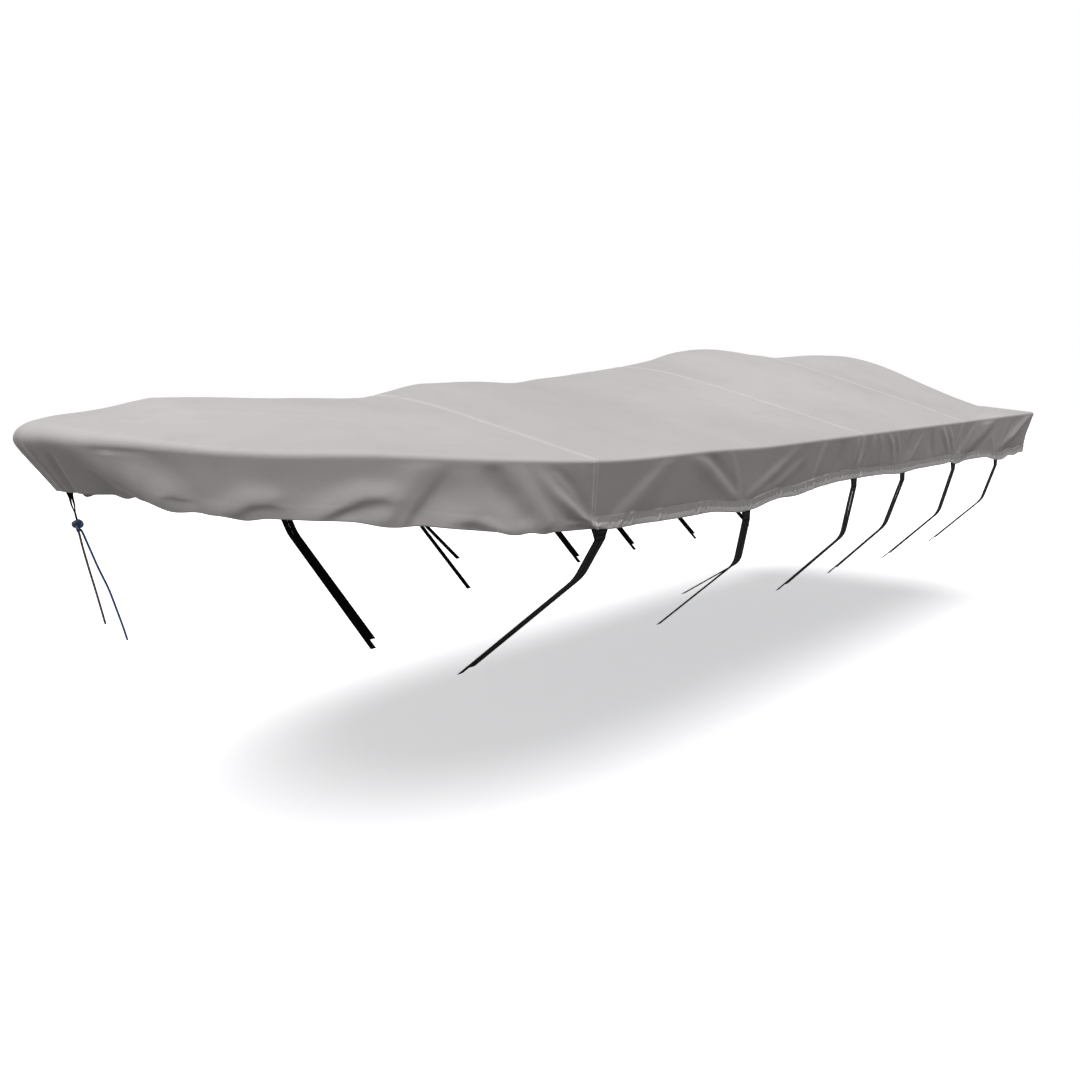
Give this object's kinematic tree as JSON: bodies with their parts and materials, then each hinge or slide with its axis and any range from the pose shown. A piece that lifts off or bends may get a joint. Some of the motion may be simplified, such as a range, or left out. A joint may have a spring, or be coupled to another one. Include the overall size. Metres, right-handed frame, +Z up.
{
  "type": "boat cover",
  "caption": "Fitted grey cloth cover for an open V-hull boat, humped along the middle, with a hemmed skirt, webbing tie-downs and a cord tie at the bow.",
  "frame": {"origin": "on the centre line at the height of the gunwales aft, near the middle of the boat, where the hull stands under the top", "axes": "+X towards the stern, -X towards the bow, -Y port, +Y starboard, +Z up"},
  "size_m": [5.148, 1.92, 1.1815],
  "materials": {
    "cover_cloth": "light warm grey coated polyester weave, matt",
    "webbing": "black polypropylene webbing",
    "flecked_cord": "black braided cord with light flecks",
    "blue_cord": "blue braided cord"
  },
  "bodies": {
    "root": {"cover_bow_panel": "cover_cloth", "cover_mid_panel": "cover_cloth", "cover_aft_panel": "cover_cloth", "cover_stern_panel": "cover_cloth", "port_tie_1_loop": "webbing", "port_tie_1_leg_a": "webbing", "port_tie_1_leg_b": "webbing", "port_tie_2_loop": "webbing", "port_tie_2_leg_a": "webbing", "port_tie_2_leg_b": "webbing", "port_tie_3_loop": "webbing", "port_tie_3_leg_a": "webbing", "port_tie_3_leg_b": "webbing", "port_tie_4_loop": "webbing", "port_tie_4_leg_a": "webbing", "port_tie_4_leg_b": "webbing", "port_tie_5_loop": "webbing", "port_tie_5_leg_a": "webbing", "port_tie_5_leg_b": "webbing", "port_tie_6_loop": "webbing", "port_tie_6_leg_a": "webbing", "port_tie_6_leg_b": "webbing", "starboard_tie_1_loop": "webbing", "starboard_tie_1_leg_a": "webbing", "starboard_tie_1_leg_b": "webbing", "starboard_tie_2_loop": "webbing", "starboard_tie_2_leg_a": "webbing", "starboard_tie_2_leg_b": "webbing", "starboard_tie_3_loop": "webbing", "starboard_tie_3_leg_a": "webbing", "starboard_tie_3_leg_b": "webbing", "starboard_tie_4_loop": "webbing", "starboard_tie_4_leg_a": "webbing", "starboard_tie_4_leg_b": "webbing", "starboard_tie_5_loop": "webbing", "starboard_tie_5_leg_a": "webbing", "starboard_tie_5_leg_b": "webbing", "starboard_tie_6_loop": "webbing", "starboard_tie_6_leg_a": "webbing", "starboard_tie_6_leg_b": "webbing", "bow_tie_loop": "webbing", "bow_tie_knot": "webbing", "bow_tie_flecked_cord": "flecked_cord", "bow_tie_blue_cord": "blue_cord"}
  },
  "joints": []
}
